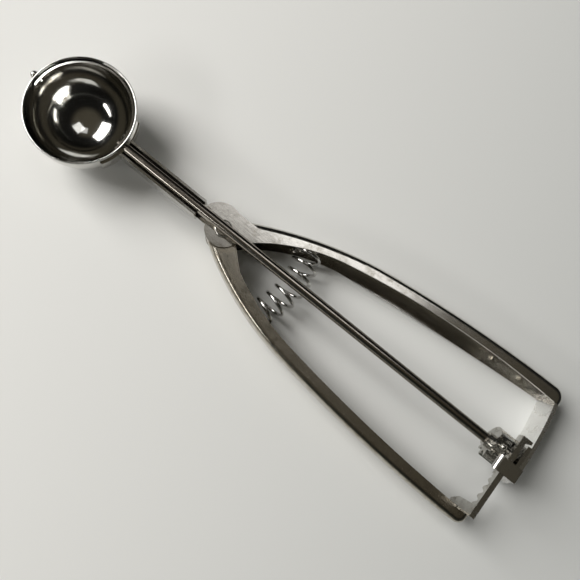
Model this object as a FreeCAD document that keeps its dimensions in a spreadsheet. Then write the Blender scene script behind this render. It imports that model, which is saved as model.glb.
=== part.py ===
"""Lever ice cream scoop: a bowl with a swinging blade, worked by squeezing two handles.

Lengths are millimetres. While it is modelled, the centre of the bowl's sphere is the
zero point: X runs along the spindle to the handles' tail, Y to the fixed handle, Z up.
The last step stands the whole scoop over its own origin.
"""
import FreeCAD, Part
import math
import os
import re

import Sketcher

V = FreeCAD.Vector
os.makedirs("parts", exist_ok=True)
doc = FreeCAD.newDocument("lever_scoop")
sheet = doc.addObject("Spreadsheet::Sheet", "sizes")

SIZES = {
    # Bowl: a half sphere with a short straight rim.
    "bowl_radius": 20.8,
    "bowl_wall": 0.9,
    "rim_height": 2.4,
    # Fits: turning pairs, pieces fixed to each other, and pieces that pass with air.
    "running_fit": 0.05,
    "fixed_fit": 0.02,
    "pass_gap": 0.3,
    # Saddle brazed to the back of the bowl.
    "saddle_wall": 0.9,
    "saddle_half_width": 10.5,
    "saddle_drop": 11.0,
    "saddle_rise": 0.8,
    "saddle_front": 12.0,
    "saddle_corner": 3.0,
    # Pin in the front of the bowl, on which the blade's front ear turns.
    "pin_radius": 1.2,
    "pin_ball": 1.6,
    "pin_ball_stand": 1.4,
    "pin_reach": 1.9,
    # Blade that sweeps the inside of the bowl.
    "blade_gap": 0.4,
    "blade_wall": 0.7,
    "blade_top": 1.5,
    "blade_ear": 3.4,
    "blade_slope": 19.3,
    # Spindle.
    "nose_radius": 1.3,
    "nose_reach": 2.4,
    "shoulder_gap": 0.25,
    "spindle_radius": 2.0,
    "journal_radius": 1.5,
    "journal_stand": 0.3,
    # Neck channel.
    "neck_half_width": 3.6,
    "neck_wall": 0.9,
    "neck_floor": 6.8,
    "neck_top": 1.0,
    "neck_end_gap": 10.9,
    "neck_rivet_back": 9.0,
    "neck_rivet_side": 1.2,
    "neck_rivet_head": 1.8,
    "neck_rivet_shoulder": 1.4,
    # Hinge of the two handles.
    "hinge_place": 67.7,
    "hinge_radius": 2.0,
    "hinge_head": 3.4,
    "head_height": 1.15,
    "head_round": 0.69,
    "washer_radius": 4.2,
    "washer_wall": 0.6,
    # Handle channels: height, sheet, and how far their tops lie under the spindle.
    "sheet_wall": 1.0,
    "channel_height": 14.0,
    "channel_drop": 3.6,
    "lobe_gap": 0.1,
    "edge_round": 2.2,
    "fixed_lobe": 7.2,
    "fixed_lobe_angle": 15.0,
    "lever_lobe": 7.0,
    "lever_lobe_angle": 10.0,
    "joggle_radius": 7.9,
    # Fixed handle, from the hinge: bulge, shoulder, belly, tail.
    "bulge_radius": 9.0,
    "bulge_back": 2.1,
    "bulge_front_y": 3.4,
    "fixed_shoulder_x": 5.8,
    "fixed_shoulder_y": 8.5,
    "fixed_shoulder_lean": 29.0,
    "fixed_belly_x": 56.5,
    "fixed_belly_y": 26.9,
    "fixed_belly_lean": 10.0,
    "fixed_near_curve": 170.0,
    "fixed_tail_x": 139.3,
    "fixed_tail_y": 34.5,
    "fixed_far_curve": 564.0,
    "fixed_corner": 5.0,
    "fixed_lip_x": 44.2,
    "fixed_lip_y": 19.4,
    "fixed_lip_tail_y": 28.3,
    "fixed_lip_curve": 368.0,
    "fixed_low_lip": 1.8,
    "fixed_low_curve": 1300.0,
    "fixed_low_root": 3.0,
    "fixed_throat_x": 12.4,
    "fixed_throat_y": 3.2,
    "fixed_throat_curve": 79.0,
    # Lever handle, from the hinge.
    "lever_front_x": 3.5,
    "lever_shoulder_x": 3.3,
    "lever_shoulder_y": 10.1,
    "lever_shoulder_lean": 28.0,
    "lever_belly_x": 47.3,
    "lever_belly_y": 24.7,
    "lever_belly_lean": 9.0,
    "lever_cheek_lean": 30.0,
    "lever_near_curve": 135.6,
    "lever_tail_x": 135.8,
    "lever_tail_y": 31.5,
    "lever_far_curve": 646.0,
    "lever_corner": 3.5,
    "lever_lip_x": 45.0,
    "lever_lip_y": 18.8,
    "lever_lip_tail_y": 26.3,
    "lever_lip_curve": 700.0,
    "lever_throat_x": 15.3,
    "lever_throat_y": 8.9,
    "lever_throat_curve": 110.0,
    # Return spring between the handles.
    "spring_place": 34.1,
    "spring_mean_radius": 5.25,
    "spring_wire": 1.3,
    "spring_turns": 8,
    "seat_radius": 3.9,
    "seat_height": 2.5,
    # Gear: the half-toothed pinion on the spindle and the rack on the lever.
    "pitch_radius": 5.5,
    "tooth_spacing": 36.0,
    "pressure_angle": 25.0,
    "tip_radius": 6.5,
    "root_radius": 4.4,
    "flank_play": 0.12,
    "pinion_gaps": 7,
    "pinion_front": 127.7,
    "pinion_back": 136.6,
    "hub_radius": 2.9,
    "hub_length": 2.0,
    "mesh_radius": 134.6,
    "rack_front": 133.2,
    "rack_wall": 2.1,
    "rack_tip": 4.62,
    "rack_root": 6.8,
    "rack_top": 8.6,
    "rack_end": 27.0,
    "rack_leg": 22.6,
    "rack_gaps": 8,
    "stop_wall": 1.2,
    "stop_reach": 4.2,
    "rack_foot": 11.0,
    "rack_foot_drop": 2.0,
    "rack_notch": 1.5,
    "rack_notch_drop": 3.4,
    "gap_over": 0.5,
    "cross_pin_radius": 0.8,
    "cross_pin_place": 129.8,
    "cross_pin_ball": 1.2,
    # Bridge plate and tail bracket on the fixed handle; the bridge is curved about the hinge.
    "bridge_back": 5.1,
    "bend_angle": 20.0,
    "bridge_wall": 1.6,
    "bridge_low_y": 1.0,
    "bridge_tab": 26.0,
    "tab_wall": 1.2,
    "bracket_wall": 1.2,
    "bracket_depth": 6.5,
    "bearing_drop": 6.0,
    "flange_drop": 5.0,
    "bracket_low_y": 8.0,
    "bracket_high_y": 6.4,
    "land_top": 6.2,
    "land_length": 1.6,
    "slope_drop": 9.6,
    "hood_top": 10.0,
    "hood_wall": 1.0,
    "hood_front": 129.6,
    "hood_low_y": 8.4,
    "hood_high_y": 2.7,
    "hood_lip": 1.6,
    "ring_radius": 2.2,
    "ring_wall": 0.5,
    # Rivets in the sheet metal.
    "rivet_radius": 1.0,
    "rivet_head": 1.9,
    "rivet_head_height": 0.7,
    "tab_rivet_near": 0.2,
    "tab_rivet_far": 0.75,
    "flange_rivet_lift": 2.5,
    "foot_rivet_near": 0.22,
    "foot_rivet_far": 0.72,
    "foot_rivet_lift": 1.0,
}
for row, (name, number) in enumerate(SIZES.items(), start=1):
    sheet.set(f"A{row}", name)
    sheet.set(f"B{row}", str(number))
    sheet.setAlias(f"B{row}", name)
doc.recompute()


def cells(text):
    """Point each name in an expression at its cell in the sheet."""
    return re.sub(r"\b([a-z]+_[a-z_]+)\b", r"sizes.\1", str(text))


def value(text):
    """Number that an expression gives with the sheet's values."""
    found = sheet.evalExpression(cells(text))
    return float(getattr(found, "Value", found))


def bind(thing, field, text):
    """Tie one property to an expression over the sheet."""
    thing.setExpression(field, cells(text))


# Levels that several pieces share, measured up from the spindle's axis.
TOP = "(-channel_drop)"
BOTTOM = "(-channel_drop - channel_height)"
TOP_IN = f"({TOP} - sheet_wall)"
BOTTOM_IN = f"({BOTTOM} + sheet_wall)"
LOBE_TOP = f"({TOP_IN} - lobe_gap)"
LOBE_TOP_IN = f"({LOBE_TOP} - sheet_wall)"
LOBE_BOTTOM = f"({BOTTOM_IN} + lobe_gap)"
LOBE_BOTTOM_IN = f"({LOBE_BOTTOM} + sheet_wall)"
MIDDLE = f"({TOP} - channel_height / 2)"
FLOOR = "(-neck_floor)"
FLOOR_IN = "(-neck_floor + neck_wall)"
SADDLE_OUT = "(bowl_radius + fixed_fit + saddle_wall)"
BLADE_OUT = "(bowl_radius - bowl_wall - blade_gap)"
BLADE_IN = f"({BLADE_OUT} - blade_wall)"
FAR = "(bowl_radius * 2)"
RACK_BACK = "(rack_front + rack_wall)"
BRIDGE_IN = "(fixed_tail_x + bridge_back)"
BRIDGE_OUT = f"({BRIDGE_IN} + bridge_wall)"
BRACKET_FRONT = f"({BRIDGE_IN} - bracket_depth)"
BEARING_BACK = f"({BRACKET_FRONT} + bracket_wall)"
LAND_END = f"({BRACKET_FRONT} + land_length)"
FLANGE_BACK = f"(sqrt({BRIDGE_IN} ^ 2 - bracket_low_y ^ 2) - fixed_fit)"


def new_body(label):
    """Empty body that carries the node's name."""
    body = doc.addObject("PartDesign::Body", label)
    body.Label = label
    return body


def origin_plane(body, role):
    """One of the body's own planes or axes."""
    return next(item for item in body.Origin.OriginFeatures if item.Role == role)


def middle_of_arc(start, end, radius, side):
    """Point half way along an arc of under a half circle; side 1 bulges to the right of its travel."""
    chord = end - start
    half = chord.Length / 2
    across = V(chord.y, -chord.x, 0).normalize() * side
    bulge = radius - math.sqrt(max(radius * radius - half * half, 0.0))
    return (start + end) * 0.5 + across * bulge


def outline(body, name, role, level, corners):
    """Closed sketch; each corner is (x, y) and a third and fourth entry make the next edge an arc."""
    flat = body.newObject("Sketcher::SketchObject", name)
    flat.AttachmentSupport = [(origin_plane(body, role), "")]
    flat.MapMode = "FlatFace"
    bind(flat, "AttachmentOffset.Base.z", level)
    points = [V(value(corner[0]), value(corner[1]), 0) for corner in corners]
    ends = []
    for index, corner in enumerate(corners):
        start = points[index]
        end = points[(index + 1) % len(points)]
        if len(corner) == 2:
            flat.addGeometry(Part.LineSegment(start, end), False)
            ends.append((1, 2))
            continue
        radius = value(corner[2])
        flat.addGeometry(Part.Arc(start, middle_of_arc(start, end, radius, corner[3]), end), False)
        ends.append((1, 2) if corner[3] > 0 else (2, 1))
    for index, corner in enumerate(corners):
        following = (index + 1) % len(corners)
        first, last = ends[index]
        flat.addConstraint(Sketcher.Constraint("Coincident", index, last, following, ends[following][0]))
        for kind, text in (("DistanceX", corner[0]), ("DistanceY", corner[1])):
            rule = flat.addConstraint(Sketcher.Constraint(kind, -1, 1, index, first, value(text)))
            bind(flat, f"Constraints[{rule}]", text)
        if len(corner) > 2:
            rule = flat.addConstraint(Sketcher.Constraint("Radius", index, value(corner[2])))
            bind(flat, f"Constraints[{rule}]", corner[2])
    return flat


def ring(body, name, role, level, x, y, radius):
    """Sketch of one circle."""
    flat = body.newObject("Sketcher::SketchObject", name)
    flat.AttachmentSupport = [(origin_plane(body, role), "")]
    flat.MapMode = "FlatFace"
    bind(flat, "AttachmentOffset.Base.z", level)
    flat.addGeometry(Part.Circle(V(value(x), value(y), 0), V(0, 0, 1), value(radius)), False)
    for kind, text in (("DistanceX", x), ("DistanceY", y)):
        rule = flat.addConstraint(Sketcher.Constraint(kind, -1, 1, 0, 3, value(text)))
        bind(flat, f"Constraints[{rule}]", text)
    rule = flat.addConstraint(Sketcher.Constraint("Radius", 0, value(radius)))
    bind(flat, f"Constraints[{rule}]", radius)
    return flat


def pad(body, flat, low, high):
    """Solid from a sketch that lies at the low level."""
    solid = body.newObject("PartDesign::Pad", flat.Name + "_pad")
    solid.Profile = flat
    bind(solid, "Length", f"({high}) - ({low})")
    doc.recompute()
    return solid


def plate(body, name, role, low, high, corners):
    """Flat piece between two levels of a plane."""
    return pad(body, outline(body, name, role, low, corners), low, high)


def cut(body, flat, low, high):
    """Remove what a sketch at the high level covers down to the low level."""
    before = body.Shape.Volume
    tool = body.newObject("PartDesign::Pocket", flat.Name + "_cut")
    tool.Profile = flat
    bind(tool, "Length", f"({high}) - ({low})")
    doc.recompute()
    if body.Shape.Volume >= before:
        raise ValueError(f"{flat.Name} removes nothing")
    return tool


def drill(body, name, role, low, high, x, y, radius):
    """Round hole square to a plane, between two levels."""
    return cut(body, ring(body, name, role, high, x, y, radius), low, high)


def turn(body, flat, axis):
    """Solid of revolution about one axis of its sketch."""
    solid = body.newObject("PartDesign::Revolution", flat.Name + "_turn")
    solid.Profile = flat
    solid.ReferenceAxis = (flat, [axis])
    solid.Angle = 360
    doc.recompute()
    return solid


def hollow_out(body, flat, axis):
    """Remove what a sketch sweeps about one of its axes."""
    before = body.Shape.Volume
    tool = body.newObject("PartDesign::Groove", flat.Name + "_groove")
    tool.Profile = flat
    tool.ReferenceAxis = (flat, [axis])
    tool.Angle = 360
    doc.recompute()
    if body.Shape.Volume >= before:
        raise ValueError(f"{flat.Name} removes nothing")
    return tool


def stepped(body, name, upright, steps, bore="0"):
    """Turned piece made of steps (radius, start, end), along Z if upright and along X if not."""
    along = [(bore, steps[0][1])]
    for radius, start, end in steps:
        along += [(radius, start), (radius, end)]
    along.append((bore, steps[-1][2]))
    corners = along if upright else [(place, radius) for radius, place in along]
    return turn(body, outline(body, name, "XZ_Plane", "0", corners), "V_Axis" if upright else "H_Axis")


def keep_between_spheres(body, name, inner, outer):
    """Trim a body to the shell between two spheres about the bowl's centre."""
    ball = [("0", f"-{inner}", inner, 1), (inner, "0", inner, 1), ("0", inner)]
    hollow_out(body, outline(body, name + "_inside", "XZ_Plane", "0", ball), "V_Axis")
    rest = [("0", f"-{outer}", outer, 1), (outer, "0", outer, 1), ("0", outer), ("0", FAR), (FAR, FAR),
            (FAR, f"-{FAR}"), ("0", f"-{FAR}")]
    hollow_out(body, outline(body, name + "_outside", "XZ_Plane", "0", rest), "V_Axis")


def round_edges(body, radius, wanted):
    """Round the edges that a test of their middle point and length picks."""
    names = []
    for number, edge in enumerate(body.Shape.Edges, start=1):
        middle = edge.valueAt((edge.FirstParameter + edge.LastParameter) / 2) - body.Placement.Base
        if wanted(middle, edge.Length):
            names.append(f"Edge{number}")
    base = body.Tip
    soft = body.newObject("PartDesign::Fillet", f"{body.Name}_round_{len(body.Group)}")
    soft.Base = (base, names)
    bind(soft, "Radius", radius)
    doc.recompute()
    return soft


def on_chain(corners, levels):
    """Test for round_edges: is an edge's middle that of one of a chain's edges, at one of the levels."""
    points = [V(value(corner[0]), value(corner[1]), 0) for corner in corners]
    middles = []
    for index, corner in enumerate(corners[:-1]):
        start, end = points[index], points[index + 1]
        middles.append((start + end) * 0.5 if len(corner) == 2
                       else middle_of_arc(start, end, value(corner[2]), corner[3]))
    heights = [value(level) for level in levels]

    def wanted(middle, length):
        """Whether the edge belongs to the chain."""
        flat = V(middle.x, middle.y, 0)
        return (min(abs(middle.z - height) for height in heights) < 0.01
                and min((flat - spot).Length for spot in middles) < 0.05)

    return wanted


def at_hinge(body, x="0", y="0", level="0"):
    """Place a body by its distance from the hinge's axis."""
    bind(body, "Placement.Base.x", f"hinge_place + ({x})")
    bind(body, "Placement.Base.y", y)
    bind(body, "Placement.Base.z", level)
    return body


def arc_centre(start, end, radius, side):
    """Centre of an arc through two points; side as in middle_of_arc."""
    chord = end - start
    across = V(chord.y, -chord.x, 0).normalize() * side
    return (start + end) * 0.5 - across * math.sqrt(radius ** 2 - (chord.Length / 2) ** 2)


def build_bowl():
    """Half sphere with a straight rim, drilled for the front pin and for the spindle's nose."""
    body = new_body("bowl")
    inner = "(bowl_radius - bowl_wall)"
    corners = [("0", "-bowl_radius", "bowl_radius", 1), ("bowl_radius", "0"), ("bowl_radius", "rim_height"),
               (inner, "rim_height"), (inner, "0", inner, -1), ("0", f"-{inner}")]
    turn(body, outline(body, "bowl_wall_outline", "XZ_Plane", "0", corners), "V_Axis")
    drill(body, "bowl_back_hole", "YZ_Plane", "0", FAR, "0", "0", "nose_radius + running_fit")
    drill(body, "bowl_front_hole", "YZ_Plane", f"-{FAR}", "0", "0", "0", "pin_radius + fixed_fit")
    round_edges(body, "bowl_wall / 3", lambda middle, length: middle.z > value("rim_height") - 0.01)
    return body


def build_saddle():
    """Curved patch on the back of the bowl that carries the neck."""
    body = new_body("bowl_saddle")
    side, drop, rise, corner = "saddle_half_width", "saddle_drop", "saddle_rise", "saddle_corner"
    corners = [(f"-{side} + {corner}", f"-{drop}"), (f"{side} - {corner}", f"-{drop}", corner, 1),
               (side, f"-{drop} + {corner}"), (side, rise), (f"-{side}", rise),
               (f"-{side}", f"-{drop} + {corner}", corner, 1)]
    plate(body, "saddle_patch", "YZ_Plane", "saddle_front", "bowl_radius * 1.5", corners)
    keep_between_spheres(body, "saddle", "(bowl_radius + fixed_fit)", SADDLE_OUT)
    drill(body, "saddle_hole", "YZ_Plane", "0", FAR, "0", "0", "nose_radius + running_fit")
    return body


def build_front_pin():
    """Pin through the front of the bowl with a ball outside."""
    body = new_body("front_pivot_pin")
    ball = "(bowl_radius + pin_ball_stand)"
    neck = f"({ball} - sqrt(pin_ball ^ 2 - pin_radius ^ 2))"
    end = "(-bowl_radius + bowl_wall + pin_reach)"
    corners = [(f"-{ball} - pin_ball", "0", "pin_ball", -1), (f"-{ball}", "pin_ball", "pin_ball", -1),
               (f"-{neck}", "pin_radius"), (end, "pin_radius"), (end, "0")]
    turn(body, outline(body, "pin_outline", "XZ_Plane", "0", corners), "H_Axis")
    return body


def build_blade():
    """Band that follows the inside of the bowl, with an ear at each end of the spindle's axis."""
    body = new_body("scraper")
    slope = "tan(blade_slope)"
    foot_x = "(-blade_ear * sin(blade_slope))"
    foot_z = "(-blade_ear * cos(blade_slope))"
    back = "sqrt(blade_ear ^ 2 - blade_top ^ 2)"
    corners = [("bowl_radius", "blade_top"), (f"-{back}", "blade_top", "blade_ear", 1),
               (foot_x, foot_z), ("bowl_radius", f"{foot_z} - (bowl_radius - {foot_x}) * {slope}")]
    plate(body, "blade_band", "YZ_Plane", "-bowl_radius", "bowl_radius", corners)
    keep_between_spheres(body, "blade", BLADE_IN, BLADE_OUT)
    drill(body, "blade_back_hole", "YZ_Plane", "0", FAR, "0", "0", "nose_radius + fixed_fit")
    drill(body, "blade_front_hole", "YZ_Plane", f"-{FAR}", "0", "0", "0", "pin_radius + running_fit")
    return body


def build_spindle():
    """Long rod: a nose in the bowl, the main length, and a journal in the tail bracket."""
    body = new_body("spindle")
    shoulder = f"({SADDLE_OUT} + shoulder_gap)"
    steps = [("nose_radius", f"{BLADE_OUT} - nose_reach + blade_wall", shoulder),
             ("spindle_radius", shoulder, "hinge_place + pinion_back"),
             ("journal_radius", "hinge_place + pinion_back", f"hinge_place + {LAND_END} + journal_stand")]
    stepped(body, "spindle_steps", False, steps)
    drill(body, "spindle_cross_hole", "XY_Plane", "-tip_radius", "tip_radius",
          "hinge_place + cross_pin_place", "0", "cross_pin_radius + fixed_fit")
    return body


def build_neck():
    """U channel from the saddle to the hinge; its floor runs on as a tongue round the hinge pin."""
    body = new_body("neck_channel")
    wide, thin = "neck_half_width", "(neck_half_width - neck_wall)"
    start = "(bowl_radius - neck_wall * 2)"
    end = "(hinge_place - neck_end_gap)"
    corners = [(start, f"-{wide}"), (end, f"-{wide}"), (end, f"-{thin}"),
               ("hinge_place", f"-{thin}", thin, 1), (f"hinge_place + {thin}", "0", thin, 1),
               ("hinge_place", thin), (end, thin), (end, wide), (start, wide)]
    plate(body, "neck_floor_plate", "XY_Plane", FLOOR, FLOOR_IN, corners)
    for name, low, high in (("neck_right", f"-{wide}", f"-{thin}"), ("neck_left", thin, wide)):
        corners = [(start, low), (end, low), (end, high), (start, high)]
        plate(body, name, "XY_Plane", FLOOR, "neck_top", corners)
    ball = [("0", f"-{SADDLE_OUT} - fixed_fit", f"{SADDLE_OUT} + fixed_fit", 1),
            (f"{SADDLE_OUT} + fixed_fit", "0", f"{SADDLE_OUT} + fixed_fit", 1),
            ("0", f"{SADDLE_OUT} + fixed_fit")]
    hollow_out(body, outline(body, "neck_seat", "XZ_Plane", "0", ball), "V_Axis")
    drill(body, "neck_eye", "XY_Plane", FLOOR, FLOOR_IN, "hinge_place", "0", "hinge_radius + fixed_fit")
    drill(body, "neck_rivet_hole", "XY_Plane", FLOOR, FLOOR_IN, "hinge_place - neck_rivet_back",
          "neck_rivet_side", "rivet_radius + fixed_fit")
    round_edges(body, "neck_wall / 2", lambda middle, length: abs(middle.z - value(FLOOR)) < 0.01
                and abs(abs(middle.y) - value(wide)) < 0.01 and length > value("bowl_radius"))
    return body


def build_neck_rivet():
    """Rivet with a shoulder that holds the fixed handle's upper lobe above the neck's tongue."""
    body = at_hinge(new_body("neck_rivet"), "-neck_rivet_back", "neck_rivet_side")
    steps = [("neck_rivet_head", f"{FLOOR} - rivet_head_height", f"{FLOOR} - fixed_fit"),
             ("rivet_radius", f"{FLOOR} - fixed_fit", f"{FLOOR_IN} + fixed_fit"),
             ("neck_rivet_shoulder", f"{FLOOR_IN} + fixed_fit", f"{TOP_IN} - fixed_fit"),
             ("rivet_radius", f"{TOP_IN} - fixed_fit", f"{TOP} + fixed_fit"),
             ("rivet_head", f"{TOP} + fixed_fit", f"{TOP} + rivet_head_height")]
    stepped(body, "neck_rivet_steps", True, steps)
    return body


def fixed_outer():
    """Outer line of the fixed handle from the neck round the hinge to the tail's corner."""
    start = "(-bulge_back - sqrt(bulge_radius ^ 2 - bulge_front_y ^ 2))"
    end = "(-bulge_back + sqrt(bulge_radius ^ 2 - fixed_shoulder_y ^ 2))"
    return [(start, "bulge_front_y", "bulge_radius", -1), (end, "fixed_shoulder_y"),
            ("fixed_shoulder_x", "fixed_shoulder_y", "fixed_near_curve", -1),
            ("fixed_belly_x", "fixed_belly_y", "fixed_far_curve", -1),
            ("fixed_tail_x", "fixed_tail_y", "fixed_corner", -1),
            ("fixed_tail_x + fixed_corner", "fixed_tail_y - fixed_corner")]


def fixed_plate():
    """Outline of one flange of the fixed handle with its lobe round the hinge."""
    flat = "(fixed_lobe * cos(fixed_lobe_angle))"
    low = "(-fixed_lobe * sin(fixed_lobe_angle))"
    tail = "fixed_tail_x + fixed_corner"
    return fixed_outer() + [(tail, "fixed_lip_tail_y", "fixed_lip_curve", 1),
                            ("fixed_lip_x", "fixed_lip_y", "fixed_throat_curve", 1),
                            ("fixed_throat_x", "fixed_throat_y"), (flat, low, "fixed_lobe", -1),
                            ("0", "-fixed_lobe", "fixed_lobe", -1), (f"-{flat}", low)]


def build_fixed_handle():
    """Channel with two flanges; its web runs round the hinge's far side and round the tail's corner."""
    body = at_hinge(new_body("fixed_handle"))
    outer = fixed_outer()
    bulge_in = "(bulge_radius - sheet_wall)"
    start_y = f"(bulge_front_y * {bulge_in} / bulge_radius)"
    end_y = "(fixed_shoulder_y - sheet_wall)"
    tail_in = "(fixed_tail_x + fixed_corner - sheet_wall)"
    clear_x = "(-bulge_back - bulge_radius * 1.2)"
    clear_y = "(-fixed_lobe * 1.2)"
    hollow = [(clear_x, "bulge_front_y"), (outer[0][0], "bulge_front_y"),
              (f"-bulge_back - sqrt({bulge_in} ^ 2 - {start_y} ^ 2)", start_y, bulge_in, -1),
              (f"-bulge_back + sqrt({bulge_in} ^ 2 - {end_y} ^ 2)", end_y),
              ("fixed_shoulder_x + sheet_wall * sin(fixed_shoulder_lean)",
               "fixed_shoulder_y - sheet_wall * cos(fixed_shoulder_lean)",
               "fixed_near_curve - sheet_wall", -1),
              ("fixed_belly_x + sheet_wall * sin(fixed_belly_lean)",
               "fixed_belly_y - sheet_wall * cos(fixed_belly_lean)", "fixed_far_curve - sheet_wall", -1),
              ("fixed_tail_x", "fixed_tail_y - sheet_wall", "fixed_corner - sheet_wall", -1),
              (tail_in, "fixed_tail_y - fixed_corner"), (tail_in, clear_y), (clear_x, clear_y)]
    plate(body, "fixed_block", "XY_Plane", BOTTOM, TOP, fixed_plate())
    round_edges(body, "edge_round", on_chain(outer[2:], (TOP, BOTTOM)))
    cut(body, outline(body, "fixed_hollow", "XY_Plane", TOP_IN, hollow), BOTTOM_IN, TOP_IN)
    low_lip = [("fixed_tail_x", "fixed_lip_tail_y + sheet_wall"), ("fixed_tail_x", "fixed_lip_tail_y"),
               ("fixed_tail_x - sheet_wall", "fixed_lip_tail_y", "fixed_low_curve", 1),
               ("fixed_lip_x", "fixed_lip_y - fixed_low_lip", "fixed_throat_curve", 1),
               ("fixed_throat_x", "fixed_throat_y - lobe_gap"),
               ("fixed_throat_x - fixed_low_root", "fixed_throat_y + fixed_low_root"),
               ("fixed_lip_x", "fixed_lip_y + sheet_wall", "fixed_lip_curve", -1)]
    plate(body, "fixed_low_lip", "XY_Plane", BOTTOM, BOTTOM_IN, low_lip)
    drill(body, "fixed_eye", "XY_Plane", BOTTOM, TOP, "0", "0", "hinge_radius + fixed_fit")
    drill(body, "fixed_rivet_hole", "XY_Plane", TOP_IN, TOP, "-neck_rivet_back", "neck_rivet_side",
          "rivet_radius + fixed_fit")
    return body


def lever_outer():
    """Outer line of the lever handle from the joggle to the tail's corner, hinge side first."""
    return [("lever_shoulder_x", "-lever_shoulder_y", "lever_near_curve", 1),
            ("lever_belly_x", "-lever_belly_y", "lever_far_curve", 1),
            ("lever_tail_x", "-lever_tail_y", "lever_corner", 1),
            ("lever_tail_x + lever_corner", "-lever_tail_y + lever_corner")]


FRONT_Y = "sqrt(lever_lobe ^ 2 - lever_front_x ^ 2)"


def on_lever_front(distance, inset="0"):
    """Point at a distance from the hinge on the lever's straight front face, or on a line inside it."""
    run = "(lever_shoulder_x + lever_front_x)"
    rise = f"(lever_shoulder_y - {FRONT_Y})"
    length = f"sqrt({run} ^ 2 + {rise} ^ 2)"
    across = f"((lever_front_x * {rise} + {FRONT_Y} * {run}) / {length} - {inset})"
    along = f"sqrt(({distance}) ^ 2 - {across} ^ 2)"
    return (f"({along} * {run} - {across} * {rise}) / {length}",
            f"-({across} * {run} + {along} * {rise}) / {length}")


def build_lever_handle():
    """Channel like the other, with its lobes stepped in so that they turn between the fixed ones."""
    body = at_hinge(new_body("lever_handle"))
    lobe, near, far = "lever_lobe", "joggle_radius", "(joggle_radius + sheet_wall)"
    tail = "lever_tail_x + lever_corner"
    tail_in = "(lever_tail_x + lever_corner - sheet_wall)"
    block = [("-lever_front_x", f"-{FRONT_Y}")] + lever_outer() + [
        (tail, "-lever_lip_tail_y", "lever_lip_curve", -1),
        ("lever_lip_x", "-lever_lip_y", "lever_throat_curve", -1), ("lever_throat_x", "-lever_throat_y"),
        (f"{lobe} * cos(lever_lobe_angle)", f"-{lobe} * sin(lever_lobe_angle)", lobe, 1),
        ("0", lobe, lobe, 1), (f"-{lobe}", "0", lobe, 1)]
    plate(body, "lever_block", "XY_Plane", BOTTOM, TOP, block)
    round_edges(body, "edge_round", on_chain(lever_outer(), (TOP, BOTTOM)))
    cut(body, ring(body, "lever_relief_top", "XY_Plane", TOP, "0", "0", near), LOBE_TOP, TOP)
    cut(body, ring(body, "lever_relief_bottom", "XY_Plane", LOBE_BOTTOM, "0", "0", near), BOTTOM, LOBE_BOTTOM)
    inner_front = on_lever_front(far, "sheet_wall")
    hollow = [inner_front,
              ("lever_shoulder_x + sheet_wall * sin(lever_shoulder_lean)",
               "-lever_shoulder_y + sheet_wall * cos(lever_shoulder_lean)",
               "lever_near_curve - sheet_wall", 1),
              ("lever_belly_x + sheet_wall * sin(lever_belly_lean)",
               "-lever_belly_y + sheet_wall * cos(lever_belly_lean)", "lever_far_curve - sheet_wall", 1),
              ("lever_tail_x", "-lever_tail_y + sheet_wall", "lever_corner - sheet_wall", 1),
              (tail_in, "-lever_tail_y + lever_corner"), (tail_in, "0"), (far, "0", far, -1)]
    cut(body, outline(body, "lever_hollow", "XY_Plane", TOP_IN, hollow), BOTTOM_IN, TOP_IN)
    cheek_start = (f"({inner_front[0]}) - lever_lobe * 2 * cos(lever_cheek_lean)",
                   f"({inner_front[1]}) + lever_lobe * 2 * sin(lever_cheek_lean)")
    pocket = [cheek_start, inner_front, (f"{far} * 2", f"-{far} * 0.8"), (f"{far} * 2", far),
              (f"-{far} * 1.5", far)]
    pocket_line = outline(body, "lever_lobe_hollow", "XY_Plane", LOBE_TOP_IN, pocket)
    cut(body, pocket_line, LOBE_BOTTOM_IN, LOBE_TOP_IN)
    drill(body, "lever_eye", "XY_Plane", BOTTOM, TOP, "0", "0", "hinge_radius + running_fit")
    return body


def build_hinge():
    """Hinge rivet, the tube that keeps the lobes apart and the washer under the lower head."""
    rivet = at_hinge(new_body("pivot_rivet"))
    under = f"({BOTTOM} - washer_wall - fixed_fit * 2)"
    steps = [("hinge_head", f"{under} - head_height", under), ("hinge_radius", under, f"{TOP} + running_fit"),
             ("hinge_head", f"{TOP} + running_fit", f"{TOP} + head_height")]
    stepped(rivet, "pivot_rivet_steps", True, steps)
    dome = value("head_round")
    whole = 2 * math.pi * value("hinge_head - fixed_fit")
    round_edges(rivet, "head_round", lambda middle, length: length > whole
                and (middle.z > value(TOP) + dome or middle.z < value(under) - dome))
    spacer = at_hinge(new_body("pivot_spacer"))
    steps = [("hinge_head", f"{LOBE_BOTTOM_IN} + running_fit", f"{FLOOR} - fixed_fit")]
    stepped(spacer, "pivot_spacer_steps", True, steps, "hinge_radius + fixed_fit")
    washer = at_hinge(new_body("pivot_washer"))
    steps = [("washer_radius", f"{under} + fixed_fit", f"{BOTTOM} - fixed_fit")]
    stepped(washer, "pivot_washer_steps", True, steps, "hinge_radius + fixed_fit")
    return [rivet, spacer, washer]


def corner(x, y):
    """Point of the XY plane from two expressions."""
    return V(value(x), value(y), 0)


def meet_web(centre, radius, toward):
    """Point where the spring's line of centres meets a circle about centre, on the wanted side of Y."""
    reach = value("spring_place")
    gap = centre.Length
    along = (reach ** 2 - radius ** 2 + gap ** 2) / (2 * gap)
    across = math.sqrt(reach ** 2 - along ** 2)
    unit = V(centre).normalize()
    points = [unit * along + V(-unit.y, unit.x, 0) * sign * across for sign in (1, -1)]
    return max(points, key=lambda point: point.y * toward)


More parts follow.
